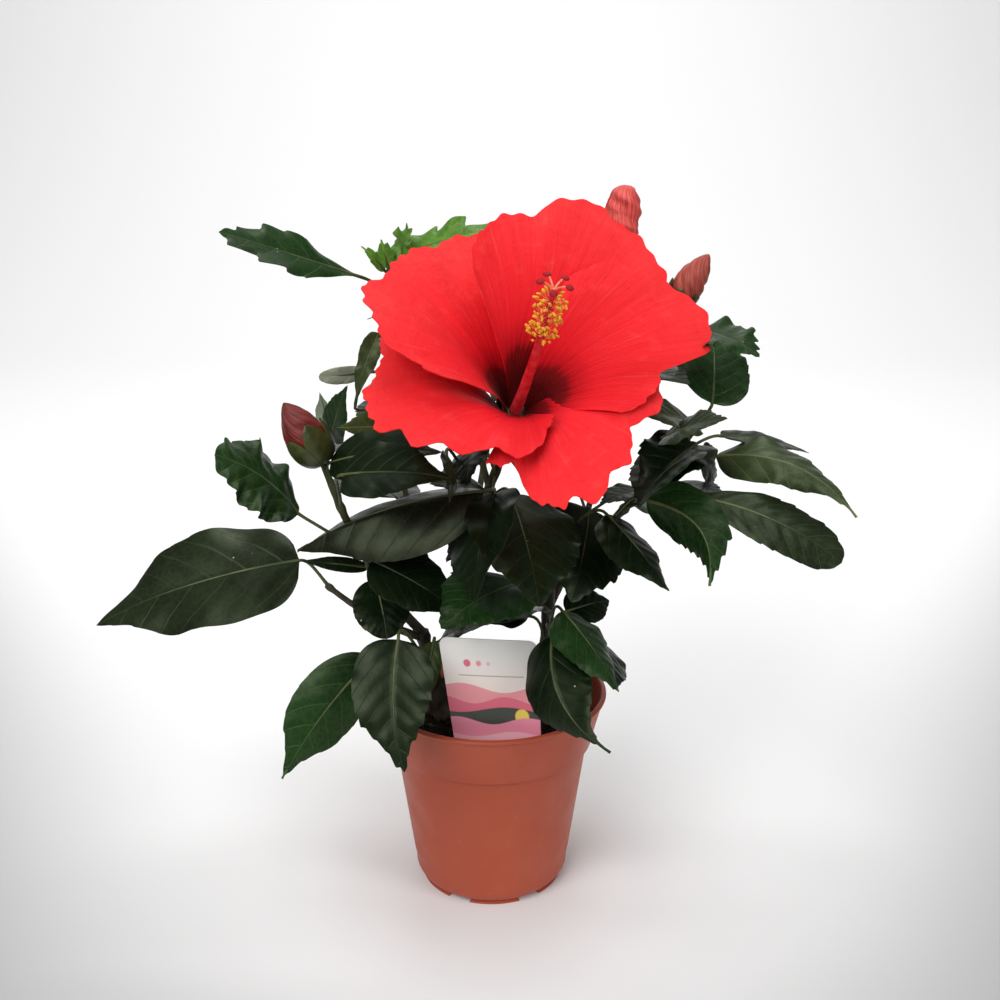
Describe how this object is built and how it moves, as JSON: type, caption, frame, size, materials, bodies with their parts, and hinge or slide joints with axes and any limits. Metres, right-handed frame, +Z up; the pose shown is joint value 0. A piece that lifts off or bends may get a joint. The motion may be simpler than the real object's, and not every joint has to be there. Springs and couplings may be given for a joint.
{
  "type": "potted hibiscus shrub",
  "caption": "Young flowering hibiscus shrub in a round plastic nursery pot with soil, branching stems, toothed leaves, buds, an open bloom and a plain plant label.",
  "frame": {"origin": "centre of the pot's flat underside", "axes": "+Z up along the pot's axis, -Y towards the front, where the label stands and the bloom faces"},
  "size_m": [0.3881, 0.2538, 0.3907],
  "materials": {
    "pot_plastic": "satin",
    "soil": "matte",
    "label": "satin",
    "bark": "matte",
    "leaf": "satin",
    "young_leaf": "satin",
    "petal": "matte",
    "column": "matte",
    "calyx": "matte",
    "bud": "matte"
  },
  "bodies": {
    "root": {"soil": "soil", "pot": "pot_plastic", "stem_left": "bark", "stem_centre": "bark", "stem_right": "bark", "bough_left_low": "bark", "bough_left_bud": "bark", "bough_top_left": "bark", "bough_right": "bark", "bough_right_bud": "bark", "bough_back_left": "bark", "bough_back_right": "bark", "bough_back": "bark", "flower_stalk": "bark", "calyx": "calyx", "stamen_column": "column", "petal_top": "petal", "petal_right": "petal", "petal_lower": "petal", "petal_front": "petal", "petal_left": "petal", "bud_left": "bud", "bud_top": "bud", "bud_right": "bud", "plant_label": "label", "leaves_far_left": "leaf", "leaves_long_left": "leaf", "leaves_bud_left": "leaf", "leaves_folded_left": "leaf", "leaves_olive_left": "leaf", "leaves_high_left": "leaf", "leaves_new_tip": "young_leaf", "leaves_high_right": "leaf", "leaves_round_right": "leaf", "leaves_fold_right": "leaf", "leaves_long_right": "leaf", "leaves_broad_right": "leaf", "leaves_droop_right": "leaf", "leaves_dark_right": "leaf", "leaves_centre": "leaf", "leaves_centre_low": "leaf", "leaves_inner": "leaf", "leaves_dark_left": "leaf", "leaves_round_left": "leaf", "leaves_low_left": "leaf", "leaves_low_right": "leaf", "leaves_card_top": "leaf", "leaves_back_left_1": "leaf", "leaves_back_left_2": "leaf", "leaves_back_left_3": "leaf", "leaves_back_right_1": "leaf", "leaves_back_right_2": "leaf", "leaves_back_right_3": "leaf", "leaves_back_1": "leaf", "leaves_back_2": "leaf"}
  },
  "joints": []
}
